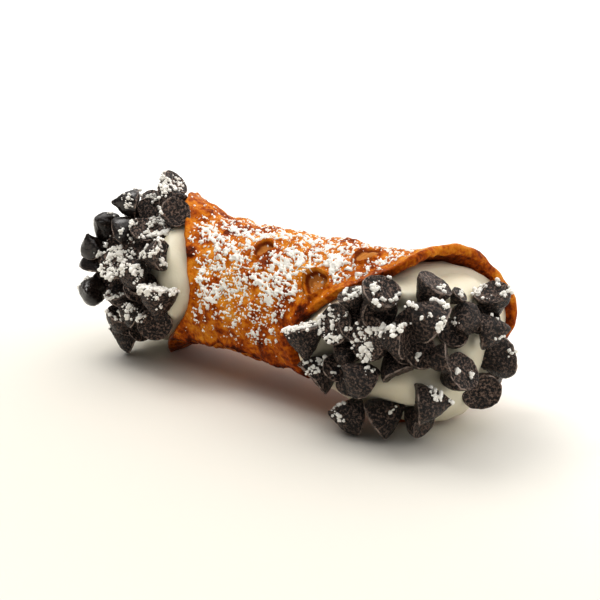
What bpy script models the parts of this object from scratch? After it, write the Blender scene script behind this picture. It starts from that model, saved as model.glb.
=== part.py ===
"""A cannoli: a fried pastry tube, a cream filling that runs through it, and chocolate chips on both ends.

The tube lies along X. A clock angle runs round that axis: 0 is the top, 90 the front (-Y), 180 the
bottom and 270 the back (+Y). The near end is at +X and the far end at -X. The tube is a round sheet of
dough wrapped once, so its rims slant: the tube is longest at the back and shortest at the seam in front,
where the outer flap ends over the inner one. Sizes are in millimetres and become metres in the meshes.
"""
import math

import bpy
import numpy as np

MM = 0.001

# The tube
AXIS_HEIGHT = 24.2
MID_RADIUS = 18.9            # outer radius half way along
WALL = 2.5
ROUND_OFF = 0.5              # how far the edge of a rim is rounded back
FLARE_LENGTH = 6.0           # how quickly the flare of a rim dies away inwards
SEAM_CLOCK = 126.0           # where the outer flap ends
FLAP_SPAN = 85.0             # degrees over which the outer flap rises out of the tube
FLAP_RISE = 2.0
SEAM_STEP = 1.5              # degrees over which the flap drops to the tube at the seam
CLOCK_STEP = 30.0            # the tables below have a value every 30 degrees, from clock 0
NEAR_REACH = (44.5, 40.5, 25.0, 15.0, 14.0, 32.0, 45.0, 46.5, 50.8, 54.2, 51.6, 48.5)
FAR_REACH = (43.0, 33.5, 26.3, 23.0, 31.0, 43.0, 50.0, 53.0, 54.5, 54.0, 52.0, 49.0)
NEAR_FLARE = (4.0, 3.5, 2.0, 1.0, 1.2, 3.6, 8.2, 4.6, 4.4, 5.6, 4.7, 4.2)
FAR_FLARE = (6.2, 4.2, 2.0, 1.2, 1.4, 3.8, 8.2, 5.4, 4.4, 4.6, 4.8, 5.6)
BLISTERS = (                 # the largest ones: place along X, clock, height, radius
    (-37.0, 0.0, 2.6, 9.0),
    (-29.0, 328.0, 1.2, 7.0),
    (-4.0, 20.0, 0.8, 6.0),
    (27.0, 18.0, 0.5, 7.0),
    (-12.0, 300.0, 0.9, 7.0),
    (30.0, 285.0, 1.0, 8.0),
    (10.0, 235.0, 0.9, 7.0),
    (-35.0, 240.0, 1.0, 8.0),
)

# The filling
GAP = 0.35                   # clearance between neighbours
LUMP = 0.35                  # height of the soft lumps on the cream
SHOULDER = 7.0               # how far past a rim the cream takes to swell to its own radius
SWELL_START = 0.2            # how far that swell has begun at the rim
MOUTH_SLOPE = 0.5            # how quickly the cream meets the wall inside a mouth that it doesn't fill
POLE_MARGIN = 0.6            # how far, in rows, the last row of an end stays from its pole
CALM_ROWS = 2                # rows over which the lumps begin at a rim
NEAR_DOME = {"start": 40.0, "length": 19.0, "blunt": 2.6,
             "radius": (16.3, 18.2, 20.9, 22.2, 22.8, 23.4, 25.0, 26.2, 26.0, 23.8, 20.6, 17.8)}
FAR_DOME = {"start": 50.0, "length": 17.0, "blunt": 3.0,
            "radius": (22.4, 22.5, 22.6, 22.5, 22.4, 22.4, 22.4, 22.3, 22.2, 22.3, 22.4, 22.4)}

# The chips
CHIP_HEIGHT = 8.4
CHIP_PROFILE = ((0.0, 4.5), (1.2, 4.9), (4.1, 3.8), (6.8, 1.7))     # height above the base, radius
CHIP_SIDES = 8
UPRIGHT = 0.95               # a chip whose tip points more nearly up or down than this counts as upright
POCKET_SCALE = 1.12          # how much larger a chip's pocket in the cream is
SETTLE_DIRECTIONS = 400      # directions in which the gap between two chips is measured
SETTLE_ROUNDS = 300          # most rounds of moving them apart
SETTLE_MARGIN = 0.02         # how much further than the gap a push goes
WALL_PUSH = 0.15             # how far a chip moves outwards in one round when it touches the tube
CHIP_REACH = 12.0            # farther than this from the middle of its base, nothing touches a chip
WALL_CLOCK_STEP = 4.0        # spacing of the points that stand for the tube when the chips settle
WALL_DEPTHS = (1.5, 3.0, 5.0, 8.0)
# Each chip was placed by hand: where the middle of its base is (clock, distance from the tube's axis,
# reach along it), where its tip points (clock, and dive: 90 is straight in along the tube), and its size.
NEAR_CHIPS = (
    (55, 27.5, 41.5, 200, 35, 0.98),
    (43, 22.5, 54.5, 170, 30, 0.93),
    (357, 13.5, 60.0, 205, 0, 0.90),
    (65, 22.0, 54.5, 40, 35, 1.06),
    (88, 26.0, 44.5, 255, -5, 1.10),
    (75, 25.0, 33.0, 252, -5, 1.05),
    (82, 26.0, 23.5, 180, -15, 1.05),
    (114, 27.0, 24.0, 315, -25, 1.08),
    (102, 26.0, 42.5, 40, 30, 0.98),
    (115, 25.0, 35.5, 20, -25, 0.75),
    (91, 23.0, 33.0, 85, -35, 0.62),
    (95, 22.5, 47.5, 345, 40, 0.85),
    (87, 17.0, 59.5, 115, 55, 0.75),
    (42, 12.5, 58.5, 95, -20, 0.80),
    (45, 6.5, 60.0, 280, -55, 0.90),
    (233, 10.5, 61.0, 95, 28, 1.08),
    (106, 12.5, 60.5, 190, 55, 1.00),
    (166, 12.0, 61.0, 275, 45, 1.00),
    (222, 15.0, 59.0, 40, 70, 0.60),
    (119, 24.0, 53.0, 275, -50, 1.05),
    (135, 28.0, 36.0, 80, 40, 1.00),
    (135, 28.0, 42.0, 315, -40, 1.05),
    (137, 24.0, 51.5, 345, 75, 0.88),
    (65, 24.0, 39.5, 255, 65, 0.85),
    (63, 25.5, 36.0, 205, -10, 0.66),
    (36, 18.0, 57.5, 170, 40, 0.45),
    (77, 24.0, 52.5, 80, 75, 0.85),
)
FAR_CHIPS = (
    (5, 28.0, 49.0, 160, -45, 0.90),
    (15, 26.0, 48.5, 285, 55, 0.95),
    (30, 26.5, 36.0, 230, -55, 0.90),
    (32, 25.5, 53.0, 78, -45, 0.92),
    (50, 23.0, 62.5, 55, 15, 0.95),
    (70, 23.5, 63.0, 30, 10, 0.80),
    (50, 24.5, 52.5, 320, 50, 0.95),
    (81, 23.0, 65.0, 350, 5, 0.95),
    (42, 24.5, 45.0, 200, -5, 1.10),
    (77, 26.0, 48.5, 225, -25, 1.05),
    (65, 25.5, 33.5, 130, -70, 0.95),
    (98, 25.0, 62.5, 65, 30, 0.88),
    (90, 25.0, 51.0, 210, 0, 0.95),
    (80, 24.5, 42.0, 125, 60, 0.90),
    (82, 26.5, 32.0, 170, 0, 1.12),
    (106, 27.0, 36.0, 280, -45, 1.05),
    (106, 25.0, 49.5, 180, -25, 0.95),
    (141, 25.0, 54.5, 55, -40, 1.00),
    (105, 24.0, 40.5, 45, -40, 0.85),
    # the side that faces away
    (335, 20.0, 62.5, 160, 40, 1.00),
    (5, 13.0, 68.0, 175, 60, 0.95),
    (300, 18.5, 65.0, 120, 50, 0.95),
    (265, 20.5, 63.5, 85, 40, 1.00),
    (95, 13.0, 68.5, 265, 65, 1.00),
    (215, 18.0, 66.0, 35, 55, 0.95),
    (275, 5.5, 69.0, 100, 75, 1.05),
    (170, 14.0, 67.5, 345, 60, 0.90),
    (240, 22.5, 59.5, 60, 20, 0.90),
    (315, 23.0, 57.5, 135, 15, 0.85),
    # two more in front
    (26, 23.0, 58.0, 165, -15, 0.80),
    (81, 26.0, 41.0, 200, -25, 0.95),
)

# Mesh density
CLOCK_COLUMNS = 49
OUTER_ROWS = 12
INNER_ROWS = 7
DOME_ROWS = 5                # rows on each bulging end

PASTRY = ("pastry", (0.52, 0.20, 0.045), 0.45)
CREAM = ("cream", (0.80, 0.77, 0.66), 0.45)
CHOCOLATE = ("chocolate", (0.030, 0.016, 0.011), 0.40)


def smoothstep(value):
    """0 below 0, 1 above 1, and an S curve between."""
    value = min(max(value, 0.0), 1.0)
    return value * value * (3.0 - 2.0 * value)


def round_clock(table, step, clock):
    """Smooth value of a table that closes on itself, as a Catmull-Rom curve."""
    count = len(table)
    place = (clock % 360.0) / step
    index = int(place)
    t = place - index
    before, here, after, beyond = (table[(index + k) % count] for k in (-1, 0, 1, 2))
    slope_here = 0.5 * (after - before)
    slope_after = 0.5 * (beyond - here)
    return (
        (2 * t**3 - 3 * t**2 + 1) * here
        + (t**3 - 2 * t**2 + t) * slope_here
        + (3 * t**2 - 2 * t**3) * after
        + (t**3 - t**2) * slope_after
    )


def near_rim(clock):
    return round_clock(NEAR_REACH, CLOCK_STEP, clock)


def far_rim(clock):
    return -round_clock(FAR_REACH, CLOCK_STEP, clock)


def flap(clock):
    """Extra radius of the outer flap, which ends at the seam."""
    before_seam = (SEAM_CLOCK - clock) % 360.0
    return FLAP_RISE * smoothstep(1.0 - before_seam / FLAP_SPAN)


def blisters(x, clock):
    """Height of the large blisters at one place on the tube."""
    height = 0.0
    for place, centre, rise, radius in BLISTERS:
        turn = (clock - centre + 180.0) % 360.0 - 180.0
        across = math.radians(turn) * MID_RADIUS
        height += rise * smoothstep(1.0 - math.hypot(x - place, across) / radius)
    return height


def tube_radius(x, clock):
    """Outer radius of the tube, without its flap and blisters."""
    near = round_clock(NEAR_FLARE, CLOCK_STEP, clock) * math.exp((x - near_rim(clock)) / FLARE_LENGTH)
    far = round_clock(FAR_FLARE, CLOCK_STEP, clock) * math.exp((far_rim(clock) - x) / FLARE_LENGTH)
    return MID_RADIUS + near + far


def kept_above(height, clock, radius):
    """The radius, cut back where it would reach below a height: this makes the flat resting spots."""
    drop = -math.cos(math.radians(clock))
    return min(radius, (AXIS_HEIGHT - height) / drop) if drop > 0.0 else radius


def inner_radius(x, clock):
    return kept_above(WALL, clock, tube_radius(x, clock) - WALL)


def outer_radius(x, clock):
    return kept_above(0.0, clock, tube_radius(x, clock) + flap(clock) + blisters(x, clock))


def on_roll(x, clock, radius):
    """The point at this clock angle and radius."""
    angle = math.radians(clock)
    return (x, -radius * math.sin(angle), AXIS_HEIGHT + radius * math.cos(angle))


def column_clocks():
    """Evenly spaced clock angles, with a close pair at the seam."""
    step = 360.0 / (CLOCK_COLUMNS - 1)
    clocks = [SEAM_CLOCK + SEAM_STEP + step * k for k in range(CLOCK_COLUMNS - 1)]
    return clocks + [SEAM_CLOCK + 360.0]


def spread(count):
    """Fractions from 0 to 1 that lie closer together at both ends."""
    return [0.5 - 0.5 * math.cos(math.pi * k / (count - 1)) for k in range(count)]


def inner_rows(clock):
    """Places along X of the rows inside the tube, which the wall and the cream share."""
    low, high = far_rim(clock) + ROUND_OFF, near_rim(clock) - ROUND_OFF
    return [low + (high - low) * t for t in spread(INNER_ROWS)]


def shell_loop(clock):
    """One closed section of the tube wall at a clock angle, as (x, radius) pairs."""
    low, high = far_rim(clock), near_rim(clock)
    outer = [low + ROUND_OFF + (high - low - 2 * ROUND_OFF) * t for t in spread(OUTER_ROWS)]
    section = [(x, outer_radius(x, clock)) for x in outer]
    section.append((high, 0.5 * (outer_radius(high, clock) + inner_radius(high, clock))))
    section += [(x, inner_radius(x, clock)) for x in reversed(inner_rows(clock))]
    section.append((low, 0.5 * (outer_radius(low, clock) + inner_radius(low, clock))))
    return section


def dome_radius(dome, x, clock):
    """Radius of a bulging end of the cream at a distance x from the middle."""
    widest = round_clock(dome["radius"], CLOCK_STEP, clock)
    along = max(x - dome["start"], 0.0) / dome["length"]
    free = widest * max(1.0 - along ** dome["blunt"], 0.0) ** (1.0 / dome["blunt"])
    return kept_above(GAP + LUMP, clock, free)


def lump(x, clock):
    """Soft unevenness of the cream."""
    angle = math.radians(clock)
    return LUMP * (math.sin(3 * angle + 0.11 * x) + math.sin(2 * angle - 0.23 * x + 1.0))


def cream_end(side, rim, clock):
    """(x, radius) pairs from just past a rim towards the pole of that end."""
    dome = NEAR_DOME if side > 0 else FAR_DOME
    first = abs(rim) + 2 * GAP
    tip = dome["start"] + dome["length"]
    inside = inner_radius(rim, clock) - GAP
    pairs = []
    for k in range(DOME_ROWS + 1):
        x = first + (tip - first) * math.sin(0.5 * math.pi * k / (DOME_ROWS + POLE_MARGIN))
        free = dome_radius(dome, x, clock)
        swell = smoothstep((x - first) / SHOULDER + SWELL_START)
        radius = min(free, inside + (free - inside) * swell) + lump(x, clock) * min(1.0, k / CALM_ROWS)
        pairs.append((side * x, radius))
    return pairs


def filled_radius(x, clock):
    """Radius of the cream inside the tube: up to the wall, and less near a mouth that it doesn't fill."""
    radius = inner_radius(x, clock) - GAP
    for dome, depth in ((NEAR_DOME, near_rim(clock) - x), (FAR_DOME, x - far_rim(clock))):
        radius = min(radius, round_clock(dome["radius"], CLOCK_STEP, clock) + MOUTH_SLOPE * depth)
    return radius


def cream_run(clock):
    """(x, radius) pairs of the cream from the far end to the near end, without its two poles."""
    run = list(reversed(cream_end(-1, far_rim(clock), clock)))
    run += [(x, filled_radius(x, clock)) for x in inner_rows(clock)]
    return run + cream_end(1, near_rim(clock), clock)


def material(name, colour, roughness):
    """A plain finish, shared by all pieces of one kind."""
    found = bpy.data.materials.get(name)
    if found:
        return found
    made = bpy.data.materials.new(name)
    made.use_nodes = True
    surface = made.node_tree.nodes["Principled BSDF"]
    surface.inputs["Base Color"].default_value = (*colour, 1.0)
    surface.inputs["Roughness"].default_value = roughness
    return made


def add_object(name, points, faces, finish):
    """A named object from points in millimetres."""
    mesh = bpy.data.meshes.new(name)
    mesh.from_pydata([tuple(MM * c for c in p) for p in points], [], faces)
    mesh.materials.append(material(*finish))
    made = bpy.data.objects.new(name, mesh)
    bpy.context.scene.collection.objects.link(made)
    return made


def make_shell():
    """The fried tube: one section per clock angle, joined round the axis."""
    clocks = column_clocks()
    sections = [[on_roll(x, clock, radius) for x, radius in shell_loop(clock)] for clock in clocks]
    rows = len(sections[0])
    points = [point for section in sections for point in section]
    faces = []
    for column in range(len(clocks)):
        start, next_start = column * rows, (column + 1) % len(clocks) * rows
        for row in range(rows):
            after = (row + 1) % rows
            faces.append((start + row, next_start + row, start + after))
            faces.append((next_start + row, next_start + after, start + after))
    return add_object("shell", points, faces, PASTRY)


def make_cream():
    """The filling, from one bulging end through the tube to the other."""
    clocks = column_clocks()
    runs = [[on_roll(x, clock, radius) for x, radius in cream_run(clock)] for clock in clocks]
    rows = len(runs[0])
    points = [point for run in runs for point in run]
    faces = []
    for column in range(len(clocks)):
        start, next_start = column * rows, (column + 1) % len(clocks) * rows
        for row in range(rows - 1):
            faces.append((start + row, next_start + row, next_start + row + 1))
            faces.append((start + row, next_start + row + 1, start + row + 1))
    for dome, side, row in ((FAR_DOME, -1, 0), (NEAR_DOME, 1, rows - 1)):
        pole = len(points)
        points.append((side * (dome["start"] + dome["length"]), 0.0, AXIS_HEIGHT))
        for column in range(len(clocks)):
            pair = (column * rows + row, (column + 1) % len(clocks) * rows + row)
            faces.append((pole, *reversed(pair)) if side < 0 else (pole, *pair))
    return add_object("cream", points, faces, CREAM)


def clock_direction(clock):
    """Unit vector away from the axis at a clock angle."""
    angle = math.radians(clock)
    return np.array((0.0, -math.sin(angle), math.cos(angle)))


def chip_pose(side, row):
    """Middle of the base, tip direction and size of one chip."""
    clock, off_axis, reach, turn, dive, size = row
    base = np.array((side * reach, 0.0, AXIS_HEIGHT)) + off_axis * clock_direction(clock)
    lean = math.radians(dive)
    tip = math.cos(lean) * clock_direction(turn) - np.array((side * math.sin(lean), 0.0, 0.0))
    return base, tip, size


def chip_points(tip, size):
    """Corner points of a chip about the middle of its base: rings from the base up, then the tip."""
    helper = (0.0, 0.0, 1.0) if abs(tip[2]) < UPRIGHT else (1.0, 0.0, 0.0)
    level = np.cross(tip, helper)
    level /= np.linalg.norm(level)
    across = np.cross(tip, level)
    points = []
    for height, radius in CHIP_PROFILE:
        for k in range(CHIP_SIDES):
            angle = 2.0 * math.pi * k / CHIP_SIDES
            points.append(height * tip + radius * (math.cos(angle) * level + math.sin(angle) * across))
    points.append(CHIP_HEIGHT * tip)
    return size * np.array(points)


def chip_faces():
    """Faces of a chip, all pointing out."""
    rings = len(CHIP_PROFILE)
    faces = [tuple(reversed(range(CHIP_SIDES)))]
    for ring in range(rings - 1):
        for k in range(CHIP_SIDES):
            low, low_next = ring * CHIP_SIDES + k, ring * CHIP_SIDES + (k + 1) % CHIP_SIDES
            faces.append((low, low_next, low_next + CHIP_SIDES, low + CHIP_SIDES))
    last = (rings - 1) * CHIP_SIDES
    peak = rings * CHIP_SIDES
    faces += [(last + k, last + (k + 1) % CHIP_SIDES, peak) for k in range(CHIP_SIDES)]
    return faces


def sphere_directions(count):
    """Evenly spread directions, from a golden-angle spiral."""
    golden = math.pi * (3.0 - math.sqrt(5.0))
    heights = 1.0 - 2.0 * (np.arange(count) + 0.5) / count
    rings = np.sqrt(1.0 - heights**2)
    angles = golden * np.arange(count)
    return np.stack((rings * np.cos(angles), rings * np.sin(angles), heights), axis=1)


def shell_samples():
    """Points all over the tube wall, for keeping the chips clear of it."""
    points = []
    for clock in np.arange(0.0, 360.0, WALL_CLOCK_STEP):
        points += [on_roll(x, clock, radius) for x, radius in shell_loop(clock)]
        for rim in (near_rim(clock), far_rim(clock)):
            for back in WALL_DEPTHS:
                x = rim - math.copysign(back, rim)
                points.append(on_roll(x, clock, outer_radius(x, clock)))
                points.append(on_roll(x, clock, inner_radius(x, clock)))
    return np.array(points)


def settle_chips(poses):
    """Move the chips apart until none is closer than the gap to another, the floor or the tube."""
    directions = sphere_directions(SETTLE_DIRECTIONS)
    corners = [chip_points(tip, size) for _, tip, size in poses]
    places = [base.copy() for base, _, _ in poses]
    low = np.array([(c @ directions.T).min(axis=0) for c in corners])
    high = np.array([(c @ directions.T).max(axis=0) for c in corners])
    wall = shell_samples()
    for _ in range(SETTLE_ROUNDS):
        moved = False
        for i in range(len(places)):
            lowest = corners[i][:, 2].min() + places[i][2]
            if lowest < 0.0:
                places[i][2] -= lowest
                moved = True
            close = wall[np.linalg.norm(wall - places[i], axis=1) < CHIP_REACH]
            if len(close):
                inside = (high[i] + places[i] @ directions.T - close @ directions.T).min(axis=1)
                if inside.max() > -GAP:
                    places[i][0] += math.copysign(WALL_PUSH, places[i][0])
                    moved = True
            for j in range(i):
                between = places[j] - places[i]
                if np.linalg.norm(between) > 2.0 * CHIP_REACH:
                    continue
                gaps = low[j] - high[i] + directions @ between
                best = gaps.argmax()
                if gaps[best] < GAP:
                    push = 0.5 * (GAP + SETTLE_MARGIN - gaps[best]) * directions[best]
                    places[i] -= push
                    places[j] += push
                    moved = True
        if not moved:
            break
    return places


def make_chips():
    """Every chip as its own object."""
    rows = [("near", 1, row) for row in NEAR_CHIPS] + [("far", -1, row) for row in FAR_CHIPS]
    poses = [chip_pose(side, row) for _, side, row in rows]
    places = settle_chips(poses)
    chips = []
    counts = {"near": 0, "far": 0}
    for (end, _, _), (_, tip, size), place in zip(rows, poses, places):
        counts[end] += 1
        name = "chip_%s_%02d" % (end, counts[end])
        chips.append(add_object(name, chip_points(tip, size) + place, chip_faces(), CHOCOLATE))
    return chips


def cut_pocket(cream, chip):
    """A pocket in the cream, slightly larger than the chip that sits in it."""
    corners = np.array([vertex.co for vertex in chip.data.vertices])
    middle = corners.mean(axis=0)
    grown = middle + (corners - middle) * POCKET_SCALE
    faces = [tuple(face.vertices) for face in chip.data.polygons]
    cutter = add_object("pocket_" + chip.name, grown / MM, faces, CREAM)
    cutter.hide_render = True
    cutter.display_type = "WIRE"
    pocket = cream.modifiers.new("pocket", "BOOLEAN")
    pocket.operation = "DIFFERENCE"
    pocket.solver = "EXACT"
    pocket.object = cutter


def centre_on_origin(objects):
    """Shift every mesh so that the whole is centred over the origin and stands on z = 0."""
    corners = np.array([vertex.co for item in objects for vertex in item.data.vertices])
    lowest, highest = corners.min(axis=0), corners.max(axis=0)
    shift = -0.5 * (lowest + highest)
    shift[2] = -lowest[2]
    for item in objects:
        for vertex in item.data.vertices:
            vertex.co = vertex.co + type(vertex.co)(shift)
    print("shifted by (mm):", [round(float(value) / MM, 3) for value in shift])


def main():
    for item in list(bpy.data.objects):
        bpy.data.objects.remove(item, do_unlink=True)
    shell = make_shell()
    cream = make_cream()
    chips = make_chips()
    centre_on_origin([shell, cream] + chips)
    for chip in chips:
        cut_pocket(cream, chip)


main()
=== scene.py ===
"""The looks of a cannoli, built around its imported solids.

The tube lies along X. A clock angle runs round its axis: 0 is the top, 90 the front (-Y), 180 the bottom
and 270 the back (+Y). The near end is at +X. Lengths are in millimetres until a mesh is made, and points
are about the middle of the tube on the floor until add_piece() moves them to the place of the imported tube.
A table whose name ends in NOISE has a strength, a wavelength and a seed for each of its layers.
"""
import math

import bmesh
import bpy
import numpy as np
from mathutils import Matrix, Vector
from mathutils.bvhtree import BVHTree


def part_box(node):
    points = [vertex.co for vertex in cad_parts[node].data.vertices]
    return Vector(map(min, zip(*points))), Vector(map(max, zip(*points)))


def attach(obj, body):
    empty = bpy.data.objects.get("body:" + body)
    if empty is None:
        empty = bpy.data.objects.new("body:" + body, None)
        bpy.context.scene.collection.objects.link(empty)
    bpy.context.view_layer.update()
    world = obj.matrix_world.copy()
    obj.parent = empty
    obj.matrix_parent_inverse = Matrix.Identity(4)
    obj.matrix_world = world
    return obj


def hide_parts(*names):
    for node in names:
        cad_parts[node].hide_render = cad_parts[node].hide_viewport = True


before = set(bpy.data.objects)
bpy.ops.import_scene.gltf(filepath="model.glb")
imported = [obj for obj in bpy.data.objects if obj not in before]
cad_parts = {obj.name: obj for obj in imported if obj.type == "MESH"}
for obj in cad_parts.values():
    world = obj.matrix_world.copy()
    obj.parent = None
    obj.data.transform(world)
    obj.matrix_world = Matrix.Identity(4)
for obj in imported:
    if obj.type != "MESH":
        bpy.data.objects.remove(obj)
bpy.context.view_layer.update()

MM = 0.001

# The tube, as in its solid
AXIS_HEIGHT = 24.2
MID_RADIUS = 18.9
WALL = 2.5
FLARE_LENGTH = 6.0
SEAM_CLOCK = 126.0
FLAP_SPAN = 85.0
FLAP_RISE = 2.0
CLOCK_STEP = 30.0  # between the values of the tables that run round the tube
NEAR_REACH = (44.5, 40.5, 25.0, 15.0, 14.0, 32.0, 45.0, 46.5, 50.8, 54.2, 51.6, 48.5)
FAR_REACH = (43.0, 33.5, 26.3, 23.0, 31.0, 43.0, 50.0, 53.0, 54.5, 54.0, 52.0, 49.0)
NEAR_FLARE = (4.0, 3.5, 2.0, 1.0, 1.2, 3.6, 8.2, 4.6, 4.4, 5.6, 4.7, 4.2)
FAR_FLARE = (6.2, 4.2, 2.0, 1.2, 1.4, 3.8, 8.2, 5.4, 4.4, 4.6, 4.8, 5.6)
LARGE_BLISTERS = (  # place along X, clock, height, radius
    (-37.0, 0.0, 2.6, 9.0),
    (-29.0, 328.0, 1.2, 7.0),
    (-4.0, 20.0, 0.8, 6.0),
    (27.0, 18.0, 0.5, 7.0),
    (-12.0, 300.0, 0.9, 7.0),
    (30.0, 285.0, 1.0, 8.0),
    (10.0, 235.0, 0.9, 7.0),
    (-35.0, 240.0, 1.0, 8.0),
)

# The filling, as in its solid
GAP = 0.35
LUMP = 0.35
SHOULDER = 7.0
MOUTH_SLOPE = 0.5
NEAR_DOME = {"start": 40.0, "length": 19.0, "blunt": 2.6,
             "radius": (16.3, 18.2, 20.9, 22.2, 22.8, 23.4, 25.0, 26.2, 26.0, 23.8, 20.6, 17.8)}
FAR_DOME = {"start": 50.0, "length": 17.0, "blunt": 3.0,
            "radius": (22.4, 22.5, 22.6, 22.5, 22.4, 22.4, 22.4, 22.3, 22.2, 22.3, 22.4, 22.4)}

# The cream's surface
CREAM_COLUMNS = 240
CREAM_END_ROWS = 46
CREAM_INSIDE_ROWS = 26
SHOULDER_START = 0.2  # how far along its swell the cream is at the rim
LAST_ROW = 0.985  # the last row is just short of the pole
ENDS_FROM, ENDS_LENGTH = 45.0, 15.0  # where lumps begin to push along X too, and over how far
CREAM_NOISE = ((0.30, 22.0, 61), (0.12, 7.0, 62))
CREAM_OFF_FLOOR = 0.3
CREAM_BETWEEN_CHIPS = 4.5  # how much deeper the cream lies where the chips crowd together
CROWD_REACH = 6.0  # how far from a chip's middle it counts as near
CROWD_START, CROWD_RANGE = 0.8, 1.2  # how many near chips begin a crowd, and how many more fill it

# The seam and the rims
SEAM_NOISE = ((4.0, 26.0, 11), (1.2, 7.0, 12))  # how far the seam wanders, in degrees
SEAM_SPREAD = 30.0  # degrees either side of the seam that follow it
CURL, CURL_SPAN = 0.7, 9.0  # the flap's curled edge: height, and degrees before the seam
CURL_NOISE = ((0.4, 12.0, 13),)
GROOVE, GROOVE_SPAN = 0.5, 5.0  # the groove past the seam: depth, and degrees
NEAR_RIM_NOISE = ((0.24, 17.0, 43), (0.12, 5.0, 44))
FAR_RIM_NOISE = ((0.24, 17.0, 41), (0.12, 5.0, 42))
RIM_BULGE = 1.2
TORN_NOISE = ((0.07, 4.5, 52),)
TORN_DRIFT = 3.0  # how fast the torn grain changes round the edge
INNER_EDGE_NOISE = ((0.25, 4.0, 51),)
RIM_CALM = 9.0  # how far from a rim the small blisters are in full
RIM_RELIEF = 0.3  # the share of them that is left at a rim

# The fried surface
POPPED = (  # popped blisters: place along X, clock, radius, height of the ring, depth
    (17.8, 52.0, 3.9, 1.0, 1.8),
    (-4.4, 32.0, 2.9, 0.8, 1.1),
    (27.5, 17.0, 3.6, 0.6, 0.8),
    (-14.0, 262.0, 3.0, 0.6, 0.7),
    (24.0, 305.0, 2.6, 0.5, 0.6),
    (-20.0, 330.0, 2.2, 0.5, 0.5),
)
POPPED_OVAL, POPPED_LOBES = 0.10, 0.06  # how far its outline is from round
POPPED_RING, POPPED_WALL = 0.40, 1.3  # width of the ring, and of the wall inside it
FINE_BLISTERS = 2600
BLISTER_SIZES = (0.55, 2.4, 2.4)  # of the small ones: smallest radius, range, and how rare the large are
BLISTER_STEEPNESS = (0.10, 0.25)
BLISTER_REACH = (-58.0, 57.0)
BLISTER_ROUNDNESS = 0.8
MAP_START, MAP_STEP, MAP_TURN = -62.0, 0.2, 0.6  # grid of the map of small blisters: mm, mm, degrees
FINE_NOISE = ((0.10, 2.6, 22),)
BROAD_NOISE = ((0.25, 9.0, 21),)
SHELL_COLUMNS = 400
FIRST_COLUMN, LAST_COLUMN = 0.4, 359.98  # degrees past the seam
SHELL_ROWS = 216
INNER_ROWS = 16
RIM_POINTS = 6

# How brown the pastry is, from 0 to 1: everywhere, and how much more, or at the top less, in some places.
# The paler top is painted light from above, and the inner wall's value is painted shade inside the tube.
# The rims' share fades out over its WIDTH and the flap's over its SPAN, in degrees. The share on small
# blisters grows with their height, up to its HEIGHT.
BROWN = 0.38
BROWN_NOISE = ((0.08, 24.0, 31), (0.09, 8.0, 32), (0.05, 3.0, 33))
# painted light: the pastry is made paler round the top, where the light from above falls
TOP_PAINTED_LIGHT, PALEST_CLOCK = 0.09, 20.0
RIM_BROWN, RIM_BROWN_WIDTH = 0.13, 8.0
EDGE_BROWN = 0.08
BLISTER_BROWN, BLISTER_BROWN_HEIGHT = 0.24, 0.5
FLAP_BROWN, FLAP_BROWN_SPAN = 0.50, 5.0
# painted shade: the value for the whole inner wall, much browner than the outside
INNER_PAINTED_SHADE = 0.78
DARK_SPOTS = (  # place along X, clock, strength, radius
    (-26.5, 52.0, 0.8, 3.0),
    (17.3, 79.0, 0.9, 3.5),
    (-4.0, 147.0, 0.7, 6.0),
    (6.0, 143.0, 0.6, 5.0),
    (-27.0, 122.0, 0.6, 4.0),
    (33.0, 350.0, 0.4, 5.0),
    (0.0, 215.0, 0.5, 9.0),
    (-30.0, 275.0, 0.5, 7.0),
)

# The sugar on the tube
SUGAR_PITCH = 0.25  # grid of the sugar's relief
SUGAR_ROWS = (-52.0, 54.0)
SUGAR_CLOCKS = (-112.0, 118.0)
SUGAR_COVER = 0.50  # about the share of the surface that it covers
COVER_NOISE = ((0.09, 11.0, 71), (0.13, 5.5, 72))
MOST_COVER = 0.85
SUGAR_MIDDLE = -8.0  # clock angle of the middle of the sugared side
SUGAR_REACH, SUGAR_FADE = 127.0, 44.0  # degrees from there to its end, and over which it thins out
SUGAR_END_NOISE = ((7.0, 13.0, 73),)
TOP_STRIP = -14.0  # clock angle of the strip where the sugar lies thinly
TOP_STRIP_WIDTH, TOP_STRIP_THINNING = 26.0, 0.55
NEAR_LIP, NEAR_LIP_FADE = 2.5, 7.0  # width of the bare lip at a rim, and of its fade
FAR_LIP, FAR_LIP_FADE = 0.8, 3.0
BARE_PLACE, BARE_CLOCK, BARE_RADIUS = -38.0, 0.0, 9.0  # a bare patch on the tallest blister
FLAKE_NOISE = ((0.32, 3.6, 75), (0.68, 1.7, 76), (0.60, 0.95, 77))
FLAKE_WAVES = 40
FLAKE_DEPTH = 0.9  # how far over the threshold a flake reaches its full height
FLAKE_EDGE, FLAKE_RISE = 0.10, 0.36  # height of a flake's edge, and how much more in its middle
FLAKE_LEAST = 0.08
FLAKE_GRAIN_NOISE = ((0.11, 0.75, 78),)
RIM_MARGIN = 0.5
BURIED = -0.35  # the relief's height where there is no sugar
LOOSE_TRIES = 4800  # places tried for a loose grain: about a quarter of them get one
LOOSE_REACH = 50.0
LOOSE_SIZES = (0.12, 0.32)
LOOSE_MARGIN = 1.0

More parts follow.
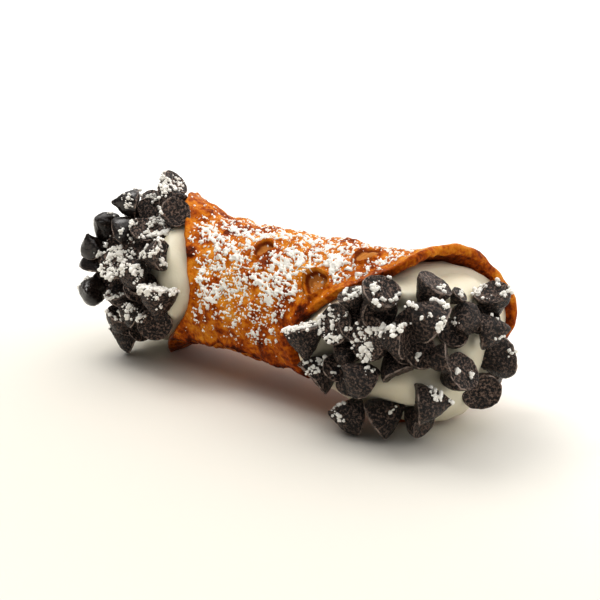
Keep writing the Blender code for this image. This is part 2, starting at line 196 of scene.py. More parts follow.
# The chips
CHIP_PROFILE = (  # (height above the base, radius) from the middle of the base to the tip
    (0.30, 0.0), (0.26, 1.6), (0.20, 3.2), (0.10, 4.2), (0.0, 4.55), (0.16, 4.86), (1.0, 4.88), (2.1, 4.58),
    (3.3, 4.04), (4.5, 3.32), (5.7, 2.44), (6.7, 1.62), (7.5, 1.02), (8.05, 0.66), (8.38, 0.34), (8.48, 0.0),
)
CHIP_COLUMNS = 40
FILLER_COLUMNS = 26
CHIP_BASE_RADIUS = 4.5  # of the solid chips
CHIP_HEIGHT = 8.4
CHIP_MIDDLE = 3.0  # height of a chip's middle above its base
CHIP_OVAL = (0.01, 0.05)
CHIP_LOBES = 0.02
CHIP_BEND = (0.1, 0.9)  # how far the tip leans over
CHIP_WARPS = ((0.09, 5.0, 1), (0.045, 1.3, 4))  # strength, wavelength, and what is added to the seed
CHIP_TIP = 0.05  # how far the tip rises above the last ring
CHIP_BASE_TOP = 0.4  # the base's points are lower than this
CHIP_EDGE_RADIUS, CHIP_EDGE_WIDTH, CHIP_EDGE_TOP = 4.86, 0.22, 0.5  # the edge round the base, which gets a painted highlight
FLAT_MATCH = 0.9995  # cosine between two normals of one flat face
BASE_DEPTH = 0.05  # a base's corners are this close to its plane
ANY_TURN = 6.28
GLOSSY_FAR_CHIPS = (4, 5, 6, 7, 8, 12, 20, 23, 26, 29)
# Chips that lie deeper in the pile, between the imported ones: where the middle of the base is (clock,
# distance from the tube's axis, reach along it), where the tip points (clock and dive), and the size
NEAR_FILLERS = (
    (82, 20.5, 51.0, 275, 60, 0.90),
    (85, 18.5, 53.5, 220, 40, 0.85),
    (75, 23.5, 37.0, 215, 40, 0.90),
    (90, 22.5, 34.5, 245, 20, 0.80),
    (65, 23.5, 43.0, 280, 65, 0.95),
    (68, 20.5, 50.5, 240, 40, 0.90),
    (105, 23.5, 31.5, 215, 35, 0.80),
    (343, 6.5, 58.0, 220, 20, 0.85),
    (62, 11.0, 56.5, 220, 30, 0.80),
)
FAR_FILLERS = (
    (26, 23.5, 50.0, 205, -50, 0.90),
    (12, 24.5, 54.0, 190, -20, 0.85),
    (45, 25.0, 44.0, 200, -30, 0.95),
    (60, 23.5, 46.0, 240, -20, 0.90),
    (71, 22.0, 57.0, 235, -15, 0.90),
    (69, 23.5, 43.0, 225, -45, 0.85),
    (91, 21.0, 60.0, 230, -40, 0.85),
    (95, 23.0, 50.5, 225, -45, 0.90),
    (87, 23.5, 42.0, 225, -35, 0.90),
    (104, 23.5, 45.0, 235, -30, 0.90),
    (58, 22.0, 55.5, 235, -30, 0.80),
    (100, 23.5, 38.5, 215, -40, 0.80),
    (124, 23.0, 52.0, 240, -40, 0.80),
    (128, 23.0, 48.0, 230, -55, 0.75),
)

# The sugar on the chips
CHIP_SUGAR = {  # how sugared each chip is, in the order of their numbers
    "near": (0.4, 0.08, 0.5, 0.45, 0.9, 1.0, 1.2, 1.0, 0.15, 0.15, 0.05, 0.1, 0.08, 0.1,
             0.15, 0.15, 0.12, 0.03, 0.1, 0.3, 0.3, 0.08, 0.05, 0.2, 0.9, 0.2, 0.7),
    "far": (0.7, 0.5, 0.1, 0.25, 0.05, 0.03, 0.08, 0.1, 1.8, 1.5, 0.8, 0.15, 0.6, 1.0, 1.8, 0.3, 0.7, 0.6,
            0.8, 0.3, 0.3, 0.3, 0.3, 0.3, 0.2, 0.2, 0.2, 0.3, 0.3, 0.2, 1.5),
}
FILLER_SUGAR = {"near": 0.12, "far": 0.5}
DUSTED_FROM = (0.22, -0.42, 0.88)  # where the sugar came from
SHELTER_REACH = 12.0  # a chip this near in that direction keeps the sugar off
CLUMP_AREA = 4.0  # square millimetres for each clump on a chip of sugar 1
CLUMP_GRAINS = (4, 14)  # at least so many grains, and fewer than so many
CLUMP_LENGTH, CLUMP_WIDTH = 0.80, 0.50
GRAIN_SIZES = (0.13, 0.46, 1.7)  # smallest radius, range, and how rare the large ones are
GRAIN_LIFT = 0.45  # height of a grain's middle over the surface, in radii
GRAIN_SQUASH = (0.7, 1.3)
GRAIN_BUMPS = (0.85, 1.15)

# Colours, as linear red, green and blue
PASTRY_RAMP = (  # from the palest to the brownest
    (0.0, (0.74, 0.33, 0.040)),
    (0.3, (0.62, 0.205, 0.010)),
    (0.55, (0.42, 0.090, 0.002)),
    (0.8, (0.20, 0.032, 0.001)),
    (1.0, (0.070, 0.010, 0.0005)),
)
# painted shade on the wall inside a popped blister's hollow
POPPED_WALL_SHADE_COLOUR = (0.22, 0.045, 0.004)
POPPED_FLOOR_COLOUR = (0.64, 0.28, 0.065)
CREAM_COLOURS = ((0.74, 0.68, 0.525), (0.79, 0.745, 0.61))
CHOCOLATE_COLOURS = ((0.0026, 0.0013, 0.0009), (0.012, 0.0062, 0.0042))
CHOCOLATE_GRAIN_COLOUR = (0.27, 0.185, 0.145)
# painted highlight along the edge round a chip's base
CHOCOLATE_EDGE_HIGHLIGHT_COLOUR = (0.42, 0.33, 0.28)
SUGAR_COLOURS = ((0.92, 0.885, 0.82), (0.97, 0.95, 0.90))
FLOOR_COLOURS = ((0.745, 0.715, 0.65), (0.93, 0.925, 0.90))  # near the object, and away from it: painted shade near the object, painted light away from it

# The set, in metres
FLOOR_HALF = 20.0
FLOOR_BEHIND = (-0.10, 0.15)  # over these values of Y the floor pales behind the object, as painted light
FLOOR_AWAY = (0.25, 0.90)  # and over these distances all round
LIGHTS = (  # kind, name, place, size (of a SUN in degrees), power, colour
    ("SUN", "sky", (0.15, 0.38, 0.86), 124.0, 3.15, (1.0, 0.99, 0.975)),
    ("AREA", "lamp", (-0.30, -0.05, 0.65), 0.36, 1.6, (1.0, 0.985, 0.96)),
    ("AREA", "glint", (-0.34, -0.16, 0.60), 0.05, 0.20, (1.0, 1.0, 1.0)),
)
WORLD_COLOUR = (1.0, 0.99, 0.98)
HORIZON_BAND = (0.02, 0.06)  # the world dims over these heights, as the sine of the angle
HORIZON_STRENGTH, SKY_STRENGTH = 1.1, 0.28

# The view
CAMERA_AZIMUTH = 40.0
CAMERA_ELEVATION = 17.0
CAMERA_DISTANCE = 285.0
CAMERA_FOCUS_HEIGHT = 21.7  # the distance is to the point so high above the tube's middle,
CAMERA_AIM_HEIGHT = 24.4  # and the camera looks at the one so high
LENS = 60.0
CLIP_START = 0.01
VIEW_GAMMA = 0.82


# --- Curves and soft noise ---

def smoothstep(value):
    """0 below 0, 1 above 1, and an S curve between."""
    value = np.clip(value, 0.0, 1.0)
    return value * value * (3.0 - 2.0 * value)


def catmull_rom(before, here, after, beyond, t):
    """A smooth curve through even steps. t runs from 0 at here to 1 at after."""
    slope_here = 0.5 * (after - before)
    slope_after = 0.5 * (beyond - here)
    return (
        (2 * t**3 - 3 * t**2 + 1) * here
        + (t**3 - 2 * t**2 + t) * slope_here
        + (3 * t**2 - 2 * t**3) * after
        + (t**3 - t**2) * slope_after
    )


def round_clock(table, clock):
    """Smooth values of a table that runs round the tube and closes on itself."""
    table = np.asarray(table, float)
    place = np.mod(clock, 360.0) / CLOCK_STEP
    index = np.floor(place).astype(int)
    around = (table[(index + k) % len(table)] for k in (-1, 0, 1, 2))
    return catmull_rom(*around, place - index)


def waves(points, wavelength, seed, count=20):
    """Smooth noise of about unit size: a sum of plane waves in random directions."""
    rng = np.random.default_rng(seed)
    directions = rng.normal(size=(count, 3))
    directions /= np.linalg.norm(directions, axis=1)[:, None]
    directions *= rng.uniform(0.7, 1.5, count)[:, None]
    phases = rng.uniform(0.0, 2.0 * math.pi, count)
    total = np.zeros(points.shape[:-1])
    for direction, phase in zip(directions, phases):
        total += np.cos(points @ direction * (2.0 * math.pi / wavelength) + phase)
    return total * math.sqrt(2.0 / count)


def layered(points, layers, count=20):
    """The sum of a table's layers of noise."""
    return sum(strength * waves(points, wavelength, seed, count) for strength, wavelength, seed in layers)


def mostly_small(rng, smallest, size_range, rarity):
    """A random size. The higher the rarity, the fewer are large."""
    return smallest + size_range * rng.random() ** rarity


def turn_between(clock, centre):
    """Signed angle from one clock angle to another."""
    return np.mod(clock - centre + 180.0, 360.0) - 180.0


def distance_on_tube(x, clock, place, centre):
    """How far it is over the tube to the spot at this place along X and this clock angle."""
    return np.hypot(x - place, np.radians(turn_between(clock, centre)) * MID_RADIUS)


def on_roll(x, clock, radius):
    """Points at these clock angles and radii."""
    angle = np.radians(clock)
    return np.stack((x, -radius * np.sin(angle), AXIS_HEIGHT + radius * np.cos(angle)), axis=-1)


def on_plain_tube(x, clock):
    """Points on a tube of even radius, where the surface's noises are read."""
    return on_roll(x, clock, np.full_like(x, MID_RADIUS))


def on_line(x):
    """Points on a straight line, for noises that change only along X."""
    return np.stack((x, np.zeros_like(x), np.zeros_like(x)), axis=-1)


# --- The form of the tube ---

def near_rim(clock):
    return round_clock(NEAR_REACH, clock)


def far_rim(clock):
    return -round_clock(FAR_REACH, clock)


def between_rims(clock, t):
    """x from the far rim, where t is 0, to the near one, where it is 1."""
    return far_rim(clock) + (near_rim(clock) - far_rim(clock)) * t


def on_tube(x, clock, margin):
    """Whether a place is on the tube and at least so far from its rims."""
    return (x < near_rim(clock) - margin) & (x > far_rim(clock) + margin)


def rim_wander(clock, layers):
    """Unevenness of a rim's edge."""
    return layered(on_plain_tube(np.zeros_like(clock), clock), layers)


def near_seam(clock):
    """1 at the seam, 0 away from it."""
    return smoothstep(1.0 - np.abs(turn_between(clock, SEAM_CLOCK)) / SEAM_SPREAD)


def flap(x, level):
    """Extra radius of the outer flap. level is the clock angle with the seam's wander taken out."""
    before_seam = np.mod(SEAM_CLOCK - level, 360.0)
    after_seam = np.mod(level - SEAM_CLOCK, 360.0)
    rise = FLAP_RISE * smoothstep(1.0 - before_seam / FLAP_SPAN)
    curl = (CURL + layered(on_line(x), CURL_NOISE)) * smoothstep(1.0 - before_seam / CURL_SPAN)
    groove = GROOVE * smoothstep(1.0 - after_seam / GROOVE_SPAN)
    return rise + curl - groove


def spots(x, clock, table):
    """The sum of soft round spots. Each has a place along X, a clock angle, a strength and a radius."""
    total = np.zeros_like(x)
    for place, centre, strength, radius in table:
        total += strength * smoothstep(1.0 - distance_on_tube(x, clock, place, centre) / radius)
    return total


def popped_blisters(x, clock):
    """Height of the rings of burst blisters, and how far inside one each point is, from 0 to 1."""
    height = np.zeros_like(x)
    inside = np.zeros_like(x)
    for place, centre, radius, ring, depth in POPPED:
        across = np.radians(turn_between(clock, centre)) * MID_RADIUS
        angle = np.arctan2(across, x - place)
        oval = POPPED_OVAL * np.cos(2 * angle + place)
        lobes = POPPED_LOBES * np.cos(3 * angle + centre)
        outline = radius * (1.0 + oval + lobes)
        distance = np.hypot(x - place, across)
        hollow = smoothstep((outline - distance) / POPPED_WALL)
        height += ring * np.exp(-((distance - outline) / POPPED_RING) ** 2)
        height -= depth * hollow
        inside = np.maximum(inside, hollow)
    return height, inside


def blister_map():
    """Heights of the small blisters on a grid over the tube, with creases where they meet."""
    rng = np.random.default_rng(5)
    xs = np.arange(MAP_START, -MAP_START, MAP_STEP)
    turns = np.arange(0.0, 360.0, MAP_TURN)
    heights = np.zeros((len(xs), len(turns)))
    for _ in range(FINE_BLISTERS):
        radius = mostly_small(rng, *BLISTER_SIZES)
        rise = radius * rng.uniform(*BLISTER_STEEPNESS)
        place = rng.uniform(*BLISTER_REACH)
        centre = rng.uniform(0.0, 360.0)
        rows = np.nonzero(np.abs(xs - place) < radius)[0]
        columns = np.nonzero(np.abs(turn_between(turns, centre)) < math.degrees(radius / MID_RADIUS))[0]
        distance = distance_on_tube(xs[rows][:, None], turns[columns][None, :], place, centre)
        domes = rise * np.maximum(1.0 - (distance / radius) ** 2, 0.0) ** BLISTER_ROUNDNESS
        window = np.ix_(rows, columns)
        heights[window] = np.maximum(heights[window], domes)
    return heights


def fine_blisters(x, clock):
    """Height of the small blisters, read from their map."""
    last_row = BLISTERS.shape[0] - 1
    row = np.clip((x - MAP_START) / MAP_STEP, 0.0, last_row - 0.001)
    column = np.mod(clock, 360.0) / MAP_TURN
    i, j = row.astype(int), column.astype(int) % BLISTERS.shape[1]
    u, v = row - i, column - column.astype(int)
    j_after = (j + 1) % BLISTERS.shape[1]
    low = BLISTERS[i, j] * (1.0 - v) + BLISTERS[i, j_after] * v
    high = BLISTERS[i + 1, j] * (1.0 - v) + BLISTERS[i + 1, j_after] * v
    return low * (1.0 - u) + high * u


def tube_radius(x, clock):
    """Outer radius of the tube, without flap, blisters and other relief."""
    near = round_clock(NEAR_FLARE, clock) * np.exp((x - near_rim(clock)) / FLARE_LENGTH)
    far = round_clock(FAR_FLARE, clock) * np.exp((far_rim(clock) - x) / FLARE_LENGTH)
    return MID_RADIUS + near + far


def kept_above(height, clock, radius):
    """The radius, cut back where it would reach below a height: this keeps the flat resting spots."""
    drop = -np.cos(np.radians(clock))
    limit = np.where(drop > 0.0, (AXIS_HEIGHT - height) / np.maximum(drop, 1e-6), np.inf)
    return np.minimum(radius, limit)


def off_rims(x, clock):
    """0 at a rim, 1 well inside the tube."""
    return smoothstep(np.minimum(near_rim(clock) - x, x - far_rim(clock)) / RIM_CALM)


def outer_radius(x, clock, level=None):
    """Outer radius with all its relief."""
    if level is None:
        level = clock - layered(on_line(x), SEAM_NOISE) * near_seam(clock)
    plain = on_plain_tube(x, clock)
    fine = fine_blisters(x, clock) + layered(plain, FINE_NOISE)
    fine_share = RIM_RELIEF + (1.0 - RIM_RELIEF) * off_rims(x, clock)
    relief = spots(x, clock, LARGE_BLISTERS) + popped_blisters(x, clock)[0] + fine * fine_share
    relief += layered(plain, BROAD_NOISE)
    return kept_above(0.0, clock, tube_radius(x, clock) + flap(x, level) + relief)


def inner_radius(x, clock):
    return kept_above(WALL, clock, tube_radius(x, clock) - WALL)


# --- Meshes ---

def eased(count):
    """Numbers from 0 to 1, closer together at both ends."""
    return 0.5 - 0.5 * np.cos(np.linspace(0.0, math.pi, count))


def grid_faces(rows, columns, close_rows=False, close_columns=True):
    """Quads of a grid whose points are numbered row by row."""
    row = np.arange(rows if close_rows else rows - 1)
    column = np.arange(columns if close_columns else columns - 1)
    row, column = np.meshgrid(row, column, indexing="ij")
    after_row = (row + 1) % rows
    after_column = (column + 1) % columns
    quads = (row * columns + column, row * columns + after_column,
             after_row * columns + after_column, after_row * columns + column)
    return np.stack([corner.ravel() for corner in quads], axis=1)


def capped_faces(rows, columns):
    """Faces of a grid of rings, closed to a pole at each end. The two poles are numbered after the grid."""
    faces = grid_faces(rows, columns).tolist()
    first_pole = rows * columns
    last_ring = (rows - 1) * columns
    for column in range(columns):
        after = (column + 1) % columns
        faces.append((after, column, first_pole))
        faces.append((last_ring + column, last_ring + after, first_pole + 1))
    return faces


def joined(meshes):
    """The points and faces of several meshes as one."""
    points, faces = [], []
    for mesh in meshes:
        start = len(points)
        points += [tuple(point) for point in mesh["points"]]
        faces += [tuple(start + corner for corner in face) for face in mesh["faces"]]
    return points, faces


def add_object(name, data):
    thing = bpy.data.objects.new(name, data)
    bpy.context.scene.collection.objects.link(thing)
    return thing


def add_piece(name, points, faces, finish, slot, attributes=None):
    """A shaded mesh that rides on the part. Attributes are numbers for the material, one per point."""
    mesh = bpy.data.meshes.new(name)
    placed = (np.asarray(points, float) + SHIFT) * MM
    if isinstance(faces, np.ndarray):
        faces = faces.tolist()
    mesh.from_pydata(placed.tolist(), [], faces)
    mesh.shade_smooth()
    mesh.materials.append(finish)
    for key, values in (attributes or {}).items():
        layer = mesh.attributes.new(key, "FLOAT", "POINT")
        layer.data.foreach_set("value", np.asarray(values, np.float32).ravel())
    piece = add_object(name, mesh)
    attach(piece, "root")
    return piece


def frame_shift():
    """From this script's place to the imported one: the middles of the tube's two boxes are matched."""
    clocks = np.arange(0.0, 360.0, 1.0)
    edges = [on_roll(rim, clocks, tube_radius(rim, clocks)) for rim in (near_rim(clocks), far_rim(clocks))]
    edges = np.concatenate(edges)
    low, high = (np.array(corner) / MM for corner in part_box("shell"))
    shift = 0.5 * (low + high) - 0.5 * (edges.min(axis=0) + edges.max(axis=0))
    shift[2] = 0.0
    return shift


# --- The shell ---

def shell_columns():
    """Clock angles round the tube, with a close pair of columns at the seam."""
    step = 360.0 / (SHELL_COLUMNS - 1)
    even = SEAM_CLOCK + FIRST_COLUMN + step * np.arange(SHELL_COLUMNS - 1)
    return np.append(even, SEAM_CLOCK + LAST_COLUMN)


def browning_and_painted_light(x, clock, level, from_rim):
    """How brown the pastry is, from 0 to 1, with painted light that makes it paler round the top."""
    brown = BROWN + layered(on_plain_tube(x, clock), BROWN_NOISE)
    # painted light: paler round the top of the tube
    brown -= TOP_PAINTED_LIGHT * smoothstep(0.5 + np.cos(np.radians(clock - PALEST_CLOCK)))
    brown += RIM_BROWN * smoothstep(1.0 - from_rim / RIM_BROWN_WIDTH)
    brown += BLISTER_BROWN * smoothstep(fine_blisters(x, clock) / BLISTER_BROWN_HEIGHT) * off_rims(x, clock)
    brown += FLAP_BROWN * smoothstep(1.0 - np.mod(SEAM_CLOCK - level, 360.0) / FLAP_BROWN_SPAN)
    brown += spots(x, clock, DARK_SPOTS)
    return np.clip(brown, 0.0, 1.0)


def outer_wall():
    """The outer wall's rows from the far rim to the near one: x, radius, clock angle, browning with painted
    light, and how far inside a popped blister."""
    level = shell_columns()[None, :]
    t = np.linspace(0.0, 1.0, SHELL_ROWS)[:, None]
    clock = level + layered(on_line(between_rims(level, t)), SEAM_NOISE) * near_seam(level)
    low = far_rim(clock) + rim_wander(clock, FAR_RIM_NOISE)
    high = near_rim(clock) + rim_wander(clock, NEAR_RIM_NOISE)
    x = low + (high - low) * t
    level = np.broadcast_to(level, x.shape)
    brown = browning_and_painted_light(x, clock, level, np.minimum(high - x, x - low))
    return x, outer_radius(x, clock, level), clock, brown, popped_blisters(x, clock)[1]


def rim_rows(edge, side):
    """Rows round a rim, from the edge of the outer wall to that of the inner one."""
    x, radius, clock, brown, _ = edge
    place = on_roll(x, clock, radius)
    inner = inner_radius(x, clock) + layered(place, INNER_EDGE_NOISE)
    middle, half = 0.5 * (radius + inner), 0.5 * (radius - inner)
    rim_brown = np.clip(brown + EDGE_BROWN, 0.0, 1.0)
    rows = []
    for turn in np.linspace(0.0, math.pi, RIM_POINTS + 2)[1:-1]:
        torn = layered(on_roll(x + TORN_DRIFT * turn, clock, radius), TORN_NOISE)
        rim_x = x + side * (RIM_BULGE + torn) * math.sin(turn)
        rows.append((rim_x, middle + half * math.cos(turn), clock, rim_brown, 0 * x))
    return rows


def inner_wall(near_edge, far_edge):
    """Rows of the inner wall, from the near rim to the far one."""
    t = eased(INNER_ROWS)[:, None]
    x, _, clock, _, _ = (near + (far - near) * t for near, far in zip(near_edge, far_edge))
    # painted shade: the whole inner wall gets the dark inner value
    return x, inner_radius(x, clock), clock, np.full_like(x, INNER_PAINTED_SHADE), 0 * x


def make_shell(finish):
    """The fried tube: outer wall, two rounded uneven rims, inner wall."""
    outer = outer_wall()
    far_edge = [values[:1] for values in outer]
    near_edge = [values[-1:] for values in outer]
    rows = [outer, *rim_rows(near_edge, 1.0), inner_wall(near_edge, far_edge)]
    rows += reversed(rim_rows(far_edge, -1.0))  # this rim is met from the inside
    x, radius, clock, brown, pale = (np.concatenate(values) for values in zip(*rows))
    faces = grid_faces(*x.shape, close_rows=True)
    # The first attribute also carries painted light round the top and painted shade on the inner wall; the
    # second also marks where painted shade goes on the walls of popped blisters.
    shell = add_piece("shell_pastry", on_roll(x, clock, radius).reshape(-1, 3), faces, finish, "pastry",
                      {"browning_and_painted_light": brown, "pale": pale})
    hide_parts("shell")


# --- The cream ---

def dome_radius(dome, x, clock):
    widest = round_clock(dome["radius"], clock)
    along = np.maximum(x - dome["start"], 0.0) / dome["length"]
    free = widest * np.maximum(1.0 - along ** dome["blunt"], 0.0) ** (1.0 / dome["blunt"])
    return kept_above(GAP + LUMP, clock, free)


def cream_end(side, clock):
    """x and radius of the rows from just past a rim nearly to the pole of that end."""
    dome = NEAR_DOME if side > 0 else FAR_DOME
    rim = near_rim(clock) if side > 0 else far_rim(clock)
    first = np.abs(rim) + 2 * GAP
    tip = dome["start"] + dome["length"]
    inside = inner_radius(rim, clock) - GAP
    t = np.linspace(0.0, 1.0, CREAM_END_ROWS)[:, None]
    x = first + (tip - first) * np.sin(0.5 * math.pi * t * LAST_ROW)
    free = dome_radius(dome, x, clock)
    swell = smoothstep((x - first) / SHOULDER + SHOULDER_START)
    radius = np.minimum(free, inside + (free - inside) * swell)
    return side * x, radius


def filled_radius(x, clock):
    """Radius of the cream inside the tube: up to the wall, and less near a mouth that it doesn't fill."""
    near = round_clock(NEAR_DOME["radius"], clock) + MOUTH_SLOPE * (near_rim(clock) - x)
    far = round_clock(FAR_DOME["radius"], clock) + MOUTH_SLOPE * (x - far_rim(clock))
    return np.minimum(inner_radius(x, clock) - GAP, np.minimum(near, far))


def crowding(points, chips):
    """How tightly the chips lie round each point, from 0 in the open to 1 deep in the pile."""
    near = np.zeros(len(points))
    for chip in chips:
        distance = np.linalg.norm(points - chip["middle"], axis=1)
        near += np.exp(-(distance / CROWD_REACH) ** 2)
    return smoothstep((near - CROWD_START) / CROWD_RANGE)


def smooth_cream():
    """The filling's rows from far to near: x, clock angle, radius, and 1 outside the tube, 0 inside."""
    clock = np.linspace(0.0, 360.0, CREAM_COLUMNS, endpoint=False)[None, :]
    far_x, far_r = cream_end(-1, clock)
    near_x, near_r = cream_end(1, clock)
    inside_x = between_rims(clock, eased(CREAM_INSIDE_ROWS)[1:-1, None])
    x = np.concatenate((far_x[::-1], inside_x, near_x))
    radius = np.concatenate((far_r[::-1], filled_radius(inside_x, clock), near_r))
    outside = np.ones(x.shape)
    outside[len(far_x):len(far_x) + len(inside_x)] = 0.0
    return x, np.broadcast_to(clock, x.shape), radius, outside


def make_cream(finish, chips):
    """The filling, from one bulging end through the tube to the other, sunk where the chips crowd."""
    x, clock, radius, outside = smooth_cream()
    points = on_roll(x, clock, radius)
    outward = points - np.array((0.0, 0.0, AXIS_HEIGHT))
    outward[..., 0] *= smoothstep((np.abs(x) - ENDS_FROM) / ENDS_LENGTH)
    outward /= np.linalg.norm(outward, axis=-1)[..., None]
    lift = layered(points, CREAM_NOISE)
    lift -= CREAM_BETWEEN_CHIPS * crowding(points.reshape(-1, 3), chips).reshape(x.shape)
    points = points + outward * (lift * outside)[..., None]
    points[..., 2] = np.maximum(points[..., 2], CREAM_OFF_FLOOR)
    poles = [points[0].mean(axis=0), points[-1].mean(axis=0)]
    points = np.concatenate((points.reshape(-1, 3), poles))
    cream = add_piece("cream_filling", points, capped_faces(*x.shape), finish, "cream")
    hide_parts("cream")


# --- The chips ---

def chip_pose(node):
    """Middle of the base, unit direction to the tip and size of a packed chip."""
    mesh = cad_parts[node].data
    mesh.calc_loop_triangles()
    corners = np.array([vertex.co for vertex in mesh.vertices]) / MM - SHIFT
    triangles = np.array([triangle.vertices for triangle in mesh.loop_triangles])
    a, b, c = (corners[triangles[:, k]] for k in range(3))
    doubled = np.cross(b - a, c - a)
    area = np.linalg.norm(doubled, axis=1)
    normals = doubled / area[:, None]
    same_way = (normals @ normals.T > FLAT_MATCH) @ area
    down = normals[same_way.argmax()]  # the base is the largest flat face
    on_base = corners[(corners @ down) > (corners @ down).max() - BASE_DEPTH]
    base = 0.5 * (on_base.min(axis=0) + on_base.max(axis=0))
    radius = np.linalg.norm(on_base - base, axis=1).mean()
    return base, -down, radius / CHIP_BASE_RADIUS


def smooth_profile(profile, parts=3):
    """The profile with more points, on a smooth curve through the given ones."""
    points = np.array([profile[0], *profile, profile[-1]], float)
    smooth = []
    for k in range(1, len(points) - 2):
        smooth += [catmull_rom(*points[k - 1:k + 3], part / parts) for part in range(parts)]
    return np.array([*smooth, points[-2]])


def chip_axes(tip):
    """Unit directions along and across a chip's base, and to its tip."""
    aside = (0.0, 0.0, 1.0) if abs(tip[2]) < 0.9 else (1.0, 0.0, 0.0)
    level = np.cross(tip, aside)
    level /= np.linalg.norm(level)
    return np.stack((level, np.cross(tip, level), tip))


def chip_mesh(base, tip, size, seed, columns=CHIP_COLUMNS):
    """An uneven chip: points, faces, its middle, and for each point 0 on the body, 1 on the base or 2 on
    its edge."""
    rng = np.random.default_rng(seed)
    profile = smooth_profile(CHIP_PROFILE)[1:-1]
    height, radius = profile[:, 0][:, None], profile[:, 1][:, None]
    angle = np.linspace(0.0, 2.0 * math.pi, columns, endpoint=False)[None, :]
    oval = rng.uniform(*CHIP_OVAL)
    oval_turn = rng.uniform(0.0, ANY_TURN)
    bend_turn = rng.uniform(0.0, ANY_TURN)
    lean = rng.uniform(*CHIP_BEND) * (height / CHIP_HEIGHT) ** 3
    lobes = CHIP_LOBES * np.cos(3 * angle + bend_turn)
    radius = radius * (1.0 + oval * np.cos(2 * (angle - oval_turn)) + lobes)
    side = radius * np.cos(angle) + lean * math.cos(bend_turn)
    front = radius * np.sin(angle) + lean * math.sin(bend_turn)
    rings = np.stack((side, front, height + 0.0 * angle), axis=-1)
    for strength, wavelength, first in CHIP_WARPS:
        warps = [waves(rings, wavelength, seed + first + axis) for axis in range(3)]
        rings += strength * np.stack(warps, axis=-1)
    poles = [rings[0].mean(axis=0), rings[-1].mean(axis=0) + (0.0, 0.0, CHIP_TIP)]
    points = base + np.concatenate((rings.reshape(-1, 3), poles)) * size @ chip_axes(tip)
    # the edge round the base, where the material paints a highlight
    at_edge = np.exp(-((radius - CHIP_EDGE_RADIUS) / CHIP_EDGE_WIDTH) ** 2) * (height < CHIP_EDGE_TOP)
    kind = (height < CHIP_BASE_TOP) + at_edge
    flat = np.append(kind.ravel(), (1.0, 0.0))  # the poles come last
    middle = base + CHIP_MIDDLE * size * tip
    return {"points": points, "faces": capped_faces(*kind.shape), "flat": flat, "middle": middle}


def make_chips(dull, glossy):
    """A detailed chip for every packed one."""
    chips = []
    for node in sorted(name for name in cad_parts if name.startswith("chip_")):
        chip = chip_mesh(*chip_pose(node), 1000 + 17 * len(chips))
        end, number = node.split("_")[1:]
        chip.update(end=end, sugar=CHIP_SUGAR[end][int(number) - 1])
        finish = glossy if end == "far" and int(number) in GLOSSY_FAR_CHIPS else dull
        piece = add_piece(node + "_piece", chip["points"], chip["faces"], finish, "chocolate",
                          {"flat": chip["flat"]})
        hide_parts(node)
        chips.append(chip)
    return chips


def filler_tip(side, turn, dive):
    """Unit direction towards a clock angle, dipped towards the middle of the tube."""
    angle, dip = math.radians(turn), math.radians(dive)
    outward = math.cos(dip)
    return np.array((-side * math.sin(dip), -math.sin(angle) * outward, math.cos(angle) * outward))


def make_filler_chips(finish, end, side, table):
    """The chips deeper in the pile of one end, joined into one piece."""
    chips = []
    for k, (clock, off_axis, reach, turn, dive, size) in enumerate(table):
        base = on_roll(np.array(side * reach), np.array(clock), np.array(off_axis))
        seed = 3000 + 100 * side + 17 * k
        chip = chip_mesh(base, filler_tip(side, turn, dive), size, seed, FILLER_COLUMNS)
        chip.update(end=end, sugar=FILLER_SUGAR[end])
        chips.append(chip)
    flat = np.concatenate([chip["flat"] for chip in chips])
    add_piece("more_chips_" + end, *joined(chips), finish, "chocolate", {"flat": flat})
    return chips


# --- The sugar ---

def sugar_thinning(clock):
    """1 over most of the tube, less along its top, where the sugar lies thinly."""
    return 1.0 - TOP_STRIP_THINNING * np.exp(-(turn_between(clock, TOP_STRIP) / TOP_STRIP_WIDTH) ** 2)


def off_lips(x, clock):
    """0 on the bare lips of the two rims, 1 between them."""
    near = smoothstep((near_rim(clock) - x - NEAR_LIP) / NEAR_LIP_FADE)
    far = smoothstep((x - far_rim(clock) - FAR_LIP) / FAR_LIP_FADE)
    return near * far


def sugar_cover(x, clock):
    """About which share of the tube the sugar covers, from 0 to MOST_COVER."""
    plain = on_plain_tube(x, clock)
    turn = np.abs(turn_between(clock, SUGAR_MIDDLE))
    from_top = smoothstep((SUGAR_REACH + layered(plain, SUGAR_END_NOISE) - turn) / SUGAR_FADE)
    cover = SUGAR_COVER + layered(plain, COVER_NOISE)
    held = 1.0 - smoothstep(1.6 - distance_on_tube(x, clock, BARE_PLACE, BARE_CLOCK) / BARE_RADIUS)
    for place, centre, radius, _, _ in POPPED:
        held *= 1.0 - 0.96 * smoothstep(2.5 - 1.7 * distance_on_tube(x, clock, place, centre) / radius)
    return np.clip(cover * sugar_thinning(clock) * from_top * off_lips(x, clock) * held, 0.0, MOST_COVER)


def sugar_flakes(x, clock):
    """Height of the sugar above the pastry: small flakes and clumps, and BURIED where there is none."""
    plain = on_plain_tube(x, clock)
    pattern = layered(plain, FLAKE_NOISE, FLAKE_WAVES)
    missing = 0.5 - sugar_cover(x, clock)
    threshold = 2.6 * missing + 28.0 * np.maximum(missing, 0.0) ** 5
    deep = np.clip((pattern - threshold) / FLAKE_DEPTH, 0.0, 1.0)
    height = (FLAKE_EDGE + FLAKE_RISE * np.sqrt(deep)) * sugar_thinning(clock)
    height += layered(plain, FLAKE_GRAIN_NOISE, FLAKE_WAVES)
    there = (pattern > threshold) & on_tube(x, clock, RIM_MARGIN)
    return np.where(there, np.maximum(height, FLAKE_LEAST), BURIED)


